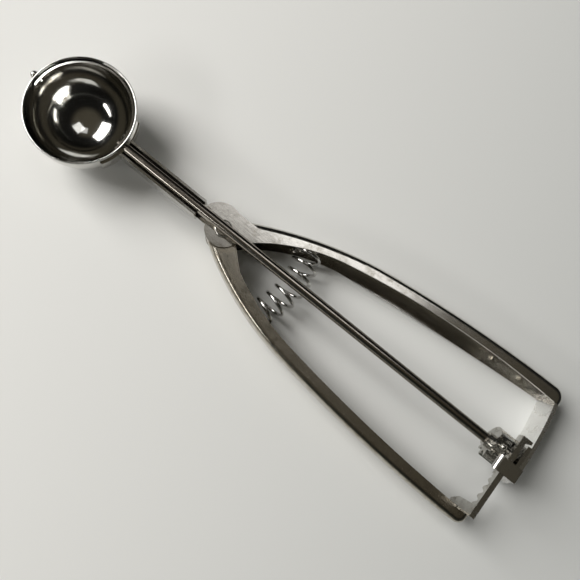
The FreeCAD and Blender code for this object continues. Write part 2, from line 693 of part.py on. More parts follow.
def spring_ends():
    """Centres and outward directions of the spring's two ends, square to the webs that hold them."""
    found = []
    stand = value("sheet_wall + spring_wire / 2 + running_fit * 3")
    webs = [(corner("lever_shoulder_x", "-lever_shoulder_y"), corner("lever_belly_x", "-lever_belly_y"),
             "lever_near_curve", 1, -1),
            (corner("fixed_shoulder_x", "fixed_shoulder_y"), corner("fixed_belly_x", "fixed_belly_y"),
             "fixed_near_curve", -1, 1)]
    for start, end, curve, side, toward in webs:
        centre = arc_centre(start, end, value(curve), side)
        place = meet_web(centre, value(curve) - stand, toward)
        found.append((place, (place - centre).normalize()))
    return found


def biarc(start, leave, end, arrive):
    """Two tangent arcs that leave one point and reach another in given directions."""
    chord = end - start
    both = leave + arrive
    slack = 2 * (1 - leave.dot(arrive))
    reach = (math.sqrt(chord.dot(both) ** 2 + slack * chord.dot(chord)) - chord.dot(both)) / slack
    joint = (start + end + (leave - arrive) * reach) * 0.5
    arcs = []
    for first, last, apex in ((start, joint, start + leave * reach), (joint, end, end - arrive * reach)):
        middle = (first + last) * 0.5
        lean = (last - first).Length / 2 / (apex - first).Length
        arcs.append(Part.Arc(first, middle + (apex - middle) * (lean / (1 + lean)), last).toShape())
    return arcs


def spring_point(ends, share):
    """Point of the wire's line, at a share of its length from the lever's end to the fixed one."""
    low, high = ends[0][0], ends[1][0]
    turned = math.atan2(low.y, low.x) * (1 - share) + math.atan2(high.y, high.x) * share
    low_lean = math.atan2(-ends[0][1].y, -ends[0][1].x) - math.pi / 2
    high_lean = math.atan2(ends[1][1].y, ends[1][1].x) - math.pi / 2
    lean = low_lean * (1 - share) + high_lean * share
    wound = 2 * math.pi * value("spring_turns") * share
    radius = value("spring_mean_radius")
    centre = V(math.cos(turned), math.sin(turned), 0) * value("spring_place")
    side = V(math.cos(lean), math.sin(lean), 0) * (radius * math.cos(wound))
    return centre + side + V(0, 0, radius * math.sin(wound))


def build_spring():
    """Helical spring on a bent line of centres: one unbroken tube on quarter-turn pairs of arcs."""
    ends = spring_ends()
    quarters = int(value("spring_turns") * 4)
    step = 1e-5
    stations = []
    for index in range(quarters + 1):
        share = index / quarters
        heading = spring_point(ends, share + step) - spring_point(ends, share - step)
        stations.append((spring_point(ends, share), heading.normalize()))
    arcs = []
    for (start, leave), (end, arrive) in zip(stations, stations[1:]):
        arcs += biarc(start, leave, end, arrive)
    path = Part.Wire(arcs)
    wire = value("spring_wire")
    start, leave = stations[0]
    section = Part.Wire([Part.Circle(start, leave, wire / 2).toShape()])
    shell = Part.BRepOffsetAPI.MakePipeShell(path)
    shell.add(section)
    shell.build()
    shell.makeSolid()
    spring = doc.addObject("Part::Feature", "return_spring")
    spring.Label = "return_spring"
    spring.Shape = shell.shape()
    per_turn = 48
    count = int(value("spring_turns") * per_turn)
    points = [spring_point(ends, index / count) for index in range(count + 1)]
    least = min((points[a] - points[b]).Length for a in range(0, count + 1, 4)
                for b in range(a + per_turn // 2, count + 1, 2))
    print("return_spring least gap to itself, mm:", round(least - wire, 3))
    print("return_spring tightest arc, mm:", round(min(edge.Curve.Radius for edge in path.Edges), 2))
    return at_hinge(spring, level=MIDDLE)


def build_seats():
    """Round buttons on the two webs that hold the spring's ends."""
    made = []
    for name, (place, outward) in zip(("spring_seat_lever", "spring_seat_fixed"), spring_ends()):
        seat = at_hinge(new_body(name), level=MIDDLE)
        base = place + outward * value("spring_wire / 2 + running_fit")
        steps = [("seat_radius", "0", "seat_height")]
        stepped(seat, name + "_steps", True, steps)
        round_edges(seat, "seat_height / 4", lambda middle, length: middle.z > value("seat_height") - 0.01)
        seat.Placement = FreeCAD.Placement(seat.Placement.Base, FreeCAD.Rotation(V(0, 0, 1), -outward))
        bind(seat, "Placement.Base.x", f"hinge_place + {base.x}")
        bind(seat, "Placement.Base.y", f"{base.y}")
        made.append(seat)
    return made


def build_pinion():
    """Gear with teeth on part of its rim, and a hub in front."""
    body = at_hinge(new_body("pinion"))
    plate_sketch = ring(body, "pinion_blank", "YZ_Plane", "pinion_front", "0", "0", "tip_radius")
    pad(body, plate_sketch, "pinion_front", "pinion_back")
    hub = ring(body, "pinion_hub", "YZ_Plane", "pinion_front - hub_length", "0", "0", "hub_radius")
    pad(body, hub, "pinion_front - hub_length", "pinion_front")
    base = "(pitch_radius * cos(pressure_angle))"
    tip_angle = f"(acos({base} / tip_radius) / 1deg)"
    pitch_half = "(tooth_spacing / 4 + flank_play / 2 / pitch_radius * 180 / pi)"
    root_half = f"({pitch_half} + pressure_angle - tan(pressure_angle) * 180 / pi)"
    tip_half = f"({root_half} + tan({tip_angle}) * 180 / pi - {tip_angle})"
    over = "(tip_radius + sheet_wall)"
    right = [("root_radius", root_half), ("pitch_radius", pitch_half),
             ("tip_radius", tip_half), (over, tip_half)]
    corners = [(f"{radius} * sin({half})", f"{radius} * cos({half})") for radius, half in right]
    corners += [(f"-{radius} * sin({half})", f"{radius} * cos({half})") for radius, half in reversed(right)]
    gap = outline(body, "pinion_gap", "YZ_Plane", "pinion_back", corners)
    bind(gap, "AttachmentOffset.Rotation.Angle", "-tooth_spacing / 2")
    first = cut(body, gap, "pinion_front", "pinion_back")
    around = body.newObject("PartDesign::PolarPattern", "pinion_gaps_round")
    around.Originals = [first]
    around.Axis = (origin_plane(body, "X_Axis"), [""])
    bind(around, "Angle", "tooth_spacing * (pinion_gaps - 1)")
    bind(around, "Occurrences", "pinion_gaps")
    body.Tip = around
    doc.recompute()
    drill(body, "pinion_bore", "YZ_Plane", "pinion_front - hub_length", "pinion_back", "0", "0",
          "spindle_radius + fixed_fit")
    drill(body, "pinion_cross_hole", "XY_Plane", "-tip_radius * 2", "tip_radius * 2", "cross_pin_place", "0",
          "cross_pin_radius + fixed_fit")
    return body


def build_cross_pin():
    """Pin through gear and spindle with a ball for a head."""
    body = at_hinge(new_body("pinion_pin"), "cross_pin_place")
    neck = "sqrt(cross_pin_ball ^ 2 - cross_pin_radius ^ 2)"
    corners = [("0", "-root_radius"), ("cross_pin_radius", "-root_radius"),
               ("cross_pin_radius", "tip_radius + fixed_fit", "cross_pin_ball", 1),
               ("cross_pin_ball", f"tip_radius + fixed_fit + {neck}", "cross_pin_ball", 1),
               ("0", f"tip_radius + fixed_fit + {neck} + cross_pin_ball")]
    turn(body, outline(body, "cross_pin_outline", "XZ_Plane", "0", corners), "V_Axis")
    return body


def lever_web_y(x):
    """Inner face of the lever's web at a distance along it, from the arc it follows."""
    centre = arc_centre(corner("lever_belly_x", "-lever_belly_y"), corner("lever_tail_x", "-lever_tail_y"),
                        value("lever_far_curve"), 1)
    inner = value("lever_far_curve - sheet_wall - fixed_fit")
    return centre.y - math.sqrt(inner ** 2 - (x - centre.x) ** 2)


def build_rack():
    """Bar with teeth underneath, a leg down into the lever's channel, a foot on its web and a stop."""
    body = at_hinge(new_body("rack"))
    bar = [("rack_front", "-rack_end"), (RACK_BACK, "-rack_end"), (RACK_BACK, "bracket_high_y + pass_gap"),
           ("rack_front + stop_reach", "bracket_high_y + pass_gap"),
           ("rack_front + stop_reach", "bracket_high_y + pass_gap + stop_wall"),
           ("rack_front", "bracket_high_y + pass_gap + stop_wall")]
    plate(body, "rack_bar", "XY_Plane", "rack_tip", "rack_top", bar)
    lip = "(lever_lip_tail_y - pass_gap)"
    sole = f"({MIDDLE} - rack_foot_drop)"
    web = f"({-lever_web_y(value('rack_front'))} - running_fit * 2)"
    under = f"({TOP_IN} - pass_gap)"
    over = f"{TOP} + pass_gap * 2"
    leg = [("-rack_end", "rack_top"), ("-rack_end", over), (f"-{lip}", over),
           (f"-{lip}", under), (f"-{web}", under), (f"-{web}", sole), (f"-{lip} + rack_notch", sole),
           ("-rack_leg", f"{TOP} - rack_notch_drop"), ("-rack_leg", "rack_top")]
    plate(body, "rack_leg_plate", "YZ_Plane", "rack_front", RACK_BACK, leg)
    start = "(rack_front - rack_foot)"
    foot_low = f"({-lever_web_y(value(start))})"
    foot_high = f"({-lever_web_y(value(RACK_BACK))})"
    foot = [(start, f"-{foot_low}"), (RACK_BACK, f"-{foot_high}"), (RACK_BACK, f"-{foot_high} + stop_wall"),
            (start, f"-{foot_low} + stop_wall")]
    plate(body, "rack_foot_plate", "XY_Plane", sole, under, foot)
    pitch = "(pitch_radius * tooth_spacing * pi / 180)"
    half = f"({pitch} / 4 + flank_play / 2)"
    slope = "tan(pressure_angle)"
    wide = f"({half} + (pitch_radius - rack_tip) * {slope})"
    thin = f"({half} - (rack_root - pitch_radius) * {slope})"
    below = "rack_tip - gap_over"
    gap_shape = [(f"-{wide}", below), (wide, below), (wide, "rack_tip"), (thin, "rack_root"),
                 (f"-{thin}", "rack_root"), (f"-{wide}", "rack_tip")]
    gap = outline(body, "rack_gap", "YZ_Plane", "0", gap_shape)
    turn_each = "(tooth_spacing * pitch_radius / mesh_radius)"
    gap.AttachmentOffset = FreeCAD.Placement(V(0, 0, 0), FreeCAD.Rotation(V(0, 1, 0), 1))
    bind(gap, "AttachmentOffset.Rotation.Angle", turn_each)
    before = body.Shape.Volume
    tool = body.newObject("PartDesign::Pocket", "rack_gap_cut")
    tool.Profile = gap
    tool.Reversed = True
    bind(tool, "Length", "rack_front + rack_wall + stop_reach")
    doc.recompute()
    if body.Shape.Volume >= before:
        raise ValueError("the rack's gap removes nothing")
    along = body.newObject("PartDesign::PolarPattern", "rack_gaps_along")
    along.Originals = [tool]
    along.Axis = (origin_plane(body, "Z_Axis"), [""])
    along.Reversed = True
    bind(along, "Angle", f"{turn_each} * (rack_gaps - 1)")
    bind(along, "Occurrences", "rack_gaps")
    body.Tip = along
    doc.recompute()
    return body


def tab_line():
    """Two ends of the straight tab that lies on the inner face of the fixed handle's web."""
    centre = arc_centre(corner("fixed_belly_x", "fixed_belly_y"), corner("fixed_tail_x", "fixed_tail_y"),
                        value("fixed_far_curve"), -1)
    inner = value("fixed_far_curve - sheet_wall - fixed_fit")
    found = []
    for x in (value("fixed_tail_x - bridge_tab"), value("fixed_tail_x")):
        found.append(V(x, centre.y + math.sqrt(inner ** 2 - (x - centre.x) ** 2), 0))
    return found


def build_bridge():
    """Curved plate across the tail, with a tab that lies along the fixed handle's web."""
    body = at_hinge(new_body("bridge_plate"))
    inner, outer = BRIDGE_IN, BRIDGE_OUT
    low = f"(-asin(bridge_low_y / {inner}) / 1deg)"
    lip = f"(asin((fixed_lip_tail_y - pass_gap) / {inner}) / 1deg)"
    bend_x, bend_y = "fixed_tail_x", "(fixed_tail_y - fixed_corner)"
    bend_out = "(fixed_corner - sheet_wall - fixed_fit)"
    bend_in = f"({bend_out} - tab_wall)"
    top = f"(asin(({bend_y} + {bend_out} * sin(bend_angle)) / {outer}) / 1deg)"

    def strip(first, last):
        """Band of the plate between two angles about the hinge."""
        return [(f"{outer} * cos({first})", f"{outer} * sin({first})", outer, 1),
                (f"{outer} * cos({last})", f"{outer} * sin({last})"),
                (f"{inner} * cos({last})", f"{inner} * sin({last})", inner, -1),
                (f"{inner} * cos({first})", f"{inner} * sin({first})")]

    plate(body, "bridge_full", "XY_Plane", BOTTOM, TOP, strip(low, lip))
    inside = (f"{BOTTOM_IN} + running_fit", f"{TOP_IN} - running_fit")
    plate(body, "bridge_inside", "XY_Plane", inside[0], inside[1], strip(lip, top))
    across, along = "cos(bend_angle)", "sin(bend_angle)"
    bend = [(f"{bend_x} + {bend_out} * {across}", f"{bend_y} + {bend_out} * {along}", bend_out, 1),
            (bend_x, f"{bend_y} + {bend_out}"), (bend_x, f"{bend_y} + {bend_in}", bend_in, -1),
            (f"{bend_x} + {bend_in} * {across}", f"{bend_y} + {bend_in} * {along}")]
    plate(body, "bridge_bend", "XY_Plane", inside[0], inside[1], bend)
    first, last = tab_line()
    tab = [(f"{first.x}", f"{first.y} - tab_wall"), (f"{last.x}", f"{last.y} - tab_wall"),
           (f"{last.x}", f"{last.y}"), (f"{first.x}", f"{first.y}")]
    plate(body, "bridge_tab_plate", "XY_Plane", inside[0], inside[1], tab)
    return body


def build_bracket():
    """Bent strip: bearing wall, land, slope and flange, with a hood that guides the rack."""
    body = at_hinge(new_body("tail_bracket"))
    thick = "bracket_wall"
    back = FLANGE_BACK
    land = "land_top"
    knee = "(land_top - slope_drop)"
    floor = f"({MIDDLE} - flange_drop)"
    inner = BEARING_BACK
    fall = f"({land} - {thick} - {knee}) / ({back} - {LAND_END})"
    profile = [(BRACKET_FRONT, "-bearing_drop"), (inner, "-bearing_drop"),
               (inner, f"{land} - {thick} - ({inner} - {LAND_END} + {thick}) * {fall}"),
               (f"{back} - {thick}", knee), (f"{back} - {thick}", floor), (back, floor), (back, knee),
               (LAND_END, land), (BRACKET_FRONT, land)]
    low, high = "-bracket_high_y", "bracket_low_y"
    plate(body, "bracket_strip", "XZ_Plane", low, high, profile)
    under = "(hood_top - hood_wall)"
    hood = [(f"{LAND_END} - {thick}", land), (LAND_END, land), (LAND_END, "hood_top"),
            ("hood_front + hood_lip", "hood_top", "hood_lip", 1), ("hood_front", "hood_top - hood_lip"),
            ("hood_front + hood_wall", "hood_top - hood_lip", "hood_lip - hood_wall", -1),
            ("hood_front + hood_lip", under), (f"{LAND_END} - {thick}", under)]
    plate(body, "bracket_hood", "XZ_Plane", "hood_high_y", "hood_low_y", hood)
    drill(body, "bracket_bearing", "YZ_Plane", BRACKET_FRONT, f"{BEARING_BACK} + ring_wall", "0", "0",
          "journal_radius + running_fit")
    return body


def build_end_ring():
    """Ring on the spindle's end behind the bearing wall."""
    body = at_hinge(new_body("shaft_end_ring"))
    start = f"({BEARING_BACK} + running_fit)"
    steps = [("ring_radius", start, f"{start} + ring_wall")]
    stepped(body, "end_ring_steps", False, steps, "journal_radius + fixed_fit")
    return body


def cross_rivets(label, places, heading, grip):
    """Rivets across sheet metal: each has its head inside and is flush outside."""
    made = []
    for number, place in enumerate(places):
        rivet = doc.addObject("PartDesign::Body", f"{label}_{number}")
        steps = [("rivet_head", "-rivet_head_height", "0"), ("rivet_radius", "0", grip)]
        stepped(rivet, f"{label}_{number}_steps", True, steps)
        turned = FreeCAD.Rotation(V(0, 0, 1), heading)
        rivet.Placement = FreeCAD.Placement(place + V(value("hinge_place"), 0, 0), turned)
        made.append(rivet)
    group = doc.addObject("Part::Compound", label)
    group.Label = label
    group.Links = made
    doc.recompute()
    return group


def hole_for(body, name, place, heading):
    """Round hole through a body along a line, for a rivet."""
    flat = body.newObject("Sketcher::SketchObject", name)
    flat.AttachmentSupport = [(origin_plane(body, "XY_Plane"), "")]
    flat.MapMode = "FlatFace"
    turned = FreeCAD.Rotation(V(0, 0, 1), heading)
    flat.AttachmentOffset = FreeCAD.Placement(place + V(heading) * value("tab_wall * 3"), turned)
    flat.addGeometry(Part.Circle(V(0, 0, 0), V(0, 0, 1), value("rivet_radius + fixed_fit")), False)
    flat.addConstraint(Sketcher.Constraint("Coincident", -1, 1, 0, 3))
    rule = flat.addConstraint(Sketcher.Constraint("Radius", 0, value("rivet_radius + fixed_fit")))
    bind(flat, f"Constraints[{rule}]", "rivet_radius + fixed_fit")
    before = body.Shape.Volume
    tool = body.newObject("PartDesign::Pocket", name + "_cut")
    tool.Profile = flat
    bind(tool, "Length", "tab_wall * 6")
    doc.recompute()
    if body.Shape.Volume >= before:
        raise ValueError(f"{name} removes nothing")


def build_rivets(fixed_handle, lever_handle, bridge, bracket, rack):
    """Rivets of the bridge's tab, of the tail bracket and of the rack's foot, with their holes."""
    first, last = tab_line()
    along = (last - first).normalize()
    outward = V(-along.y, along.x, 0)
    level = value(MIDDLE)
    head = value("tab_wall + fixed_fit")
    shares = (value("tab_rivet_near"), value("tab_rivet_far"))
    spots = [first + along * ((last - first).Length * share) - outward * head for share in shares]
    spots = [spot + V(0, 0, level) for spot in spots]
    for owner in (fixed_handle, bridge):
        for number, spot in enumerate(spots):
            hole_for(owner, f"{owner.Name}_tab_hole_{number}", spot, outward)
    bridge_rivets = cross_rivets("bridge_rivets", spots, outward, "tab_wall + sheet_wall")

    across = V(1, 0, 0)
    front = value(f"{FLANGE_BACK} - bracket_wall - fixed_fit")
    side = value("bracket_high_y / 2")
    spots = [V(front, side, level + value("flange_rivet_lift") * up) for up in (1, -1)]
    for owner in (bridge, bracket):
        for number, spot in enumerate(spots):
            hole_for(owner, f"{owner.Name}_flange_hole_{number}", spot, across)
    bracket_rivets = cross_rivets("bracket_rivets", spots, across, "bracket_wall + bridge_wall")

    start, end = value("rack_front - rack_foot"), value("rack_front")
    low, high = V(start, lever_web_y(start), 0), V(end, lever_web_y(end), 0)
    along = (high - low).normalize()
    outward = V(along.y, -along.x, 0)
    head = value("stop_wall + fixed_fit")
    shares = (value("foot_rivet_near"), value("foot_rivet_far"))
    spots = [low + along * ((high - low).Length * share) - outward * head for share in shares]
    spots = [spot + V(0, 0, level + value("foot_rivet_lift")) for spot in spots]
    for owner in (lever_handle, rack):
        for number, spot in enumerate(spots):
            hole_for(owner, f"{owner.Name}_foot_hole_{number}", spot, outward)
    rack_rivets = cross_rivets("rack_rivets", spots, outward, "stop_wall + sheet_wall")
    return [bridge_rivets, bracket_rivets, rack_rivets]


fixed_handle = build_fixed_handle()
lever_handle = build_lever_handle()
bridge = build_bridge()
bracket = build_bracket()
rack = build_rack()
nodes = [build_bowl(), build_saddle(), build_front_pin(), build_blade(), build_spindle(), build_neck(),
         build_neck_rivet(), fixed_handle, lever_handle, bridge, bracket, rack]
nodes += build_hinge() + [build_spring()] + build_seats()
nodes += [build_pinion(), build_cross_pin(), build_end_ring()]
nodes += build_rivets(fixed_handle, lever_handle, bridge, bracket, rack)
doc.recompute()

for item in doc.Objects:
    if "Invalid" in item.State or "Error" in item.State:
        raise ValueError(f"{item.Label} failed: {item.State}")
box = FreeCAD.BoundBox()
for node in nodes:
    if node.Shape.isNull() or not node.Shape.isValid():
        raise ValueError(f"{node.Label} has no sound shape")
    box.add(node.Shape.optimalBoundingBox(False))

# The scoop stands on its lowest point, centred over the origin.
shift = V(-box.Center.x, -box.Center.y, -box.ZMin)
for node in nodes:
    solid = node.Shape.copy()
    solid.translate(shift)
    solid.exportStep(f"parts/{node.Label}.step")
print("nodes:", len(nodes), "size, mm:", [round(side, 2) for side in (box.XLength, box.YLength, box.ZLength)])
print("shift, mm:", [round(part, 3) for part in (shift.x, shift.y, shift.z)])
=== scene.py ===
"""Looks of a lever ice cream scoop: polished bowl, swinging blade, rod, two sheet handles, spring and gear.

Lengths are metres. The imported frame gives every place: X runs from the bowl to the handles'
tail, Y to the fixed handle and Z up. Sizes of the bowl are measured from its own centre.
"""

import logging
import math
from dataclasses import dataclass
from enum import Enum
from typing import Any, Optional, Sequence, Union

import bpy
import numpy as np
from mathutils import Matrix, Vector

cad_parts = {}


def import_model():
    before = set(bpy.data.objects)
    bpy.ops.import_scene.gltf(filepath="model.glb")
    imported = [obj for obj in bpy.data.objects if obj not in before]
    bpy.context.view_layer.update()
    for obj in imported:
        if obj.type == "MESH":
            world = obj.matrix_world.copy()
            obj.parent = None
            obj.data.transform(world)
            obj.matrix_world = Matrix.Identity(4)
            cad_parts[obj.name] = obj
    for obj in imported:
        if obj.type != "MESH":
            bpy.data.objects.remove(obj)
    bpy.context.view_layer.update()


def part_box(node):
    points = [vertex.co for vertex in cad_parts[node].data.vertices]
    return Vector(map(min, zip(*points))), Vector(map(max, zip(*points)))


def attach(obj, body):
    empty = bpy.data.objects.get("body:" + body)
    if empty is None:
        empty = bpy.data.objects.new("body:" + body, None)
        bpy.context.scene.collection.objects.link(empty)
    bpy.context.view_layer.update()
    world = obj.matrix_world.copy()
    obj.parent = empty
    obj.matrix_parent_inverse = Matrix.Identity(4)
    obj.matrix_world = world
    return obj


LOG = logging.getLogger("lever_scoop")
Colour = tuple[float, float, float]
Number = Union[float, "Wire"]


class Wire:
    """One output of a shader node, on which plain arithmetic adds Math nodes."""

    def __init__(self, recipe: "Recipe", socket: bpy.types.NodeSocket) -> None:
        """Keeps the socket and the recipe that its node belongs to.

        Args:
            recipe: The material or world that holds the node.
            socket: The node's output.
        """
        self.recipe = recipe
        self.socket = socket

    def _math(self, operation: str, first: Number, second: Number) -> "Wire":
        """One Math node on two values."""
        return self.recipe.node("ShaderNodeMath", {"operation": operation}, {0: first, 1: second})

    def __add__(self, other: Number) -> "Wire":
        """Sum."""
        return self._math("ADD", self, other)

    def __radd__(self, other: Number) -> "Wire":
        """Sum with a plain number first."""
        return self._math("ADD", other, self)

    def __sub__(self, other: Number) -> "Wire":
        """Difference."""
        return self._math("SUBTRACT", self, other)

    def __rsub__(self, other: Number) -> "Wire":
        """Difference with a plain number first."""
        return self._math("SUBTRACT", other, self)

    def __mul__(self, other: Number) -> "Wire":
        """Product."""
        return self._math("MULTIPLY", self, other)

    def __rmul__(self, other: Number) -> "Wire":
        """Product with a plain number first."""
        return self._math("MULTIPLY", other, self)

    def clamped(self) -> "Wire":
        """The same value held between 0 and 1."""
        return self.recipe.node("ShaderNodeClamp", {}, {"Value": self})


class Recipe:
    """Node tree of one material or of the world, with the few kinds of step that this object needs."""

    def __init__(self, owner: Union[bpy.types.Material, bpy.types.World]) -> None:
        """Empties the owner's tree.

        Args:
            owner: Material or world whose nodes are written.
        """
        owner.use_nodes = True
        self.tree = owner.node_tree
        self.tree.nodes.clear()

    def node(self, kind: str, settings: dict[str, Any], sockets: dict[Union[str, int], Any],
             output: Union[str, int] = 0) -> Wire:
        """Adds one node of any kind.

        Args:
            kind: Blender's name of the node type.
            settings: Properties set before the sockets.
            sockets: Value or Wire of each input that isn't left alone.
            output: Output that the returned Wire stands for.

        Returns:
            The chosen output.
        """
        made = self.tree.nodes.new(kind)
        for name, setting in settings.items():
            setattr(made, name, setting)
        for key, given in sockets.items():
            if isinstance(given, Wire):
                self.tree.links.new(given.socket, made.inputs[key])
            else:
                made.inputs[key].default_value = given
        return Wire(self, made.outputs[output])

    def place(self, stretch: Colour = (1.0, 1.0, 1.0), turn: float = 0.0) -> Wire:
        """Object coordinates in metres, turned about Z and stretched.

        Args:
            stretch: Factor on each axis after the turn.
            turn: Turn about Z in radians.

        Returns:
            The stretched vector.
        """
        own = self.node("ShaderNodeTexCoord", {}, {}, "Object")
        return self.node("ShaderNodeMapping", {}, {"Vector": own, "Rotation": (0.0, 0.0, turn),
                                                   "Scale": stretch})

    def noise(self, where: Wire, scale: float, detail: float = 3.0, roughness: float = 0.55) -> Wire:
        """Soft noise from 0 to 1 with a given number of features per metre."""
        return self.node("ShaderNodeTexNoise", {}, {"Vector": where, "Scale": scale, "Detail": detail,
                                                   "Roughness": roughness})

    def ramp(self, value: Wire, low: float, high: float) -> Wire:
        """Smooth step of a value from 0 at low to 1 at high."""
        return self.node("ShaderNodeMapRange", {"interpolation_type": "SMOOTHSTEP"},
                         {"Value": value, "From Min": low, "From Max": high})

    def blend(self, share: Number, first: Any, second: Any) -> Wire:
        """Colour between two colours, each a Wire or three numbers."""
        colours = [c if isinstance(c, Wire) else (*c, 1.0) for c in (first, second)]
        return self.node("ShaderNodeMix", {"data_type": "RGBA"}, {0: share, 6: colours[0], 7: colours[1]}, 2)

    def bump(self, height: Wire, depth: float, strength: float, base: Optional[Wire] = None) -> Wire:
        """Normal from a height of 0 to 1 that stands a given depth high."""
        sockets = {"Height": height, "Distance": depth, "Strength": strength}
        if base is not None:
            sockets["Normal"] = base
        return self.node("ShaderNodeBump", {}, sockets)

    def finish(self, surface: Wire, kind: str = "ShaderNodeOutputMaterial") -> None:
        """Joins the surface to the tree's output."""
        target = self.tree.nodes.new(kind)
        self.tree.links.new(surface.socket, target.inputs["Surface"])


class Marks(Enum):
    """Direction of the fine marks that polishing leaves on a piece."""

    ALONG = (14.0, 900.0, 900.0)
    ACROSS = (900.0, 60.0, 900.0)
    ROUND = (500.0, 500.0, 120.0)
    CLOUDED = (260.0, 260.0, 260.0)


PATCH_EDGE = (0.60, 0.95)
SPECKS_PER_METRE = 1500.0
SPECK_EDGE = (0.60, 0.75)
WAVES_PER_METRE = 240.0
PATCH_WEAR = 0.75
SPECK_WEAR = 0.25
MARK_SHADE = 0.72
MARK_SHARE = 0.35
MARK_ROUGHNESS = 0.05


@dataclass(frozen=True)
class Steel:
    """Bare steel: a clean tone with duller patches, small specks, soft waves and fine polishing marks."""

    name: str
    clean: Colour
    dull: Colour
    patch_size: float
    dull_share: float
    smooth: float
    rough: float
    marks: Marks
    mark_depth: float
    turn: float = 0.0
    wave_depth: float = 0.00002

    def material(self) -> bpy.types.Material:
        """Builds the finish.

        Returns:
            The material, in which patches change the tone and gloss and marks bend the normal.
        """
        made = bpy.data.materials.new(self.name)
        recipe = Recipe(made)
        still = recipe.place()
        lowered = self.dull_share * 0.5
        patches = recipe.ramp(recipe.noise(still, 1.0 / self.patch_size, 5.0, 0.65),
                              PATCH_EDGE[0] - lowered, PATCH_EDGE[1] - lowered)
        specks = recipe.ramp(recipe.noise(still, SPECKS_PER_METRE, 2.0), *SPECK_EDGE)
        stretched = recipe.place(self.marks.value, self.turn)
        lines = recipe.noise(stretched, 1.0, 3.0, 0.65)
        wear = (patches * PATCH_WEAR + specks * SPECK_WEAR).clamped()
        tone = recipe.blend(wear, self.clean, self.dull)
        tone = recipe.blend(lines * MARK_SHARE, tone, tuple(part * MARK_SHADE for part in self.clean))
        gloss = (self.smooth + wear * (self.rough - self.smooth) + lines * MARK_ROUGHNESS).clamped()
        waves = recipe.bump(recipe.noise(still, WAVES_PER_METRE, 2.0), self.wave_depth, 0.5)
        normal = recipe.bump(lines, self.mark_depth, 0.6, waves)
        surface = recipe.node("ShaderNodeBsdfPrincipled", {}, {"Base Color": tone, "Metallic": 1.0,
                                                               "Roughness": gloss, "Normal": normal})
        recipe.finish(surface)
        return made


POLISHED = Steel("polished_bowl_steel", (0.63, 0.625, 0.60), (0.36, 0.33, 0.27), 0.009, 0.25, 0.06, 0.17,
                 Marks.ROUND, 0.000006)
BLADE = Steel("blade_spring_steel", (0.60, 0.59, 0.56), (0.33, 0.30, 0.25), 0.006, 0.30, 0.08, 0.20,
              Marks.CLOUDED, 0.000008)
NECK = Steel("neck_channel_steel", (0.60, 0.59, 0.56), (0.27, 0.25, 0.20), 0.008, 0.35, 0.10, 0.24,
             Marks.ALONG, 0.000008)
FIXED_SHEET = Steel("fixed_handle_sheet", (0.66, 0.64, 0.60), (0.40, 0.37, 0.31), 0.004, 0.35, 0.12, 0.26,
                    Marks.ALONG, 0.000012, -0.28, 0.00004)
LEVER_SHEET = Steel("lever_handle_sheet", (0.54, 0.51, 0.45), (0.24, 0.20, 0.14), 0.003, 0.55, 0.13, 0.28,
                    Marks.ALONG, 0.000014, 0.26, 0.00004)
ROD = Steel("drawn_rod_steel", (0.38, 0.35, 0.31), (0.22, 0.19, 0.15), 0.006, 0.30, 0.14, 0.26,
            Marks.ALONG, 0.000010)
GEAR = Steel("stamped_gear_steel", (0.62, 0.61, 0.58), (0.25, 0.23, 0.19), 0.0035, 0.45, 0.14, 0.36,
             Marks.CLOUDED, 0.000030)
BRACKET = Steel("tail_bracket_sheet", (0.64, 0.63, 0.61), (0.36, 0.34, 0.30), 0.005, 0.30, 0.14, 0.30,
                Marks.ACROSS, 0.000016)
PLATE = Steel("bright_plate_sheet", (0.86, 0.855, 0.84), (0.60, 0.58, 0.54), 0.005, 0.25, 0.22, 0.36,
              Marks.ACROSS, 0.000012)
RIVET = Steel("peened_rivet_steel", (0.60, 0.58, 0.54), (0.28, 0.25, 0.19), 0.002, 0.45, 0.14, 0.30,
              Marks.CLOUDED, 0.000030)
COIL = Steel("coiled_wire_steel", (0.66, 0.65, 0.63), (0.40, 0.38, 0.33), 0.004, 0.25, 0.10, 0.22,
             Marks.CLOUDED, 0.000008)


def surface_mesh(name: str, grid: np.ndarray, closed: tuple[bool, bool]) -> bpy.types.Object:
    """Mesh of a grid of points, each square of the grid one face.

    Args:
        name: Name of the piece.
        grid: Points, in an array of rows by columns by 3.
        closed: Whether the last row joins the first, and the last column the first.

    Returns:
        The linked object, smooth shaded, at the origin.
    """
    rows, columns = grid.shape[:2]
    down = np.arange(rows if closed[0] else rows - 1)
    along = np.arange(columns if closed[1] else columns - 1)
    i, j = np.meshgrid(down, along, indexing="ij")
    ahead, beside = (i + 1) % rows, (j + 1) % columns
    corners = np.stack([i * columns + j, ahead * columns + j,
                        ahead * columns + beside, i * columns + beside], -1)
    mesh = bpy.data.meshes.new(name)
    mesh.from_pydata(grid.reshape(-1, 3), [], corners.reshape(-1, 4))
    mesh.polygons.foreach_set("use_smooth", np.ones(len(mesh.polygons), bool))
    mesh.update()
    made = bpy.data.objects.new(name, mesh)
    bpy.context.scene.collection.objects.link(made)
    return made


def dress(names: Sequence[str], material: bpy.types.Material) -> None:
    """Gives CAD nodes their finish.

    Args:
        names: Nodes that share the finish.
        material: The finish.
    """
    for name in names:
        node = bpy.data.objects[name]
        node.data.materials.clear()
        node.data.materials.append(material)
        LOG.info("dressed %s", name)


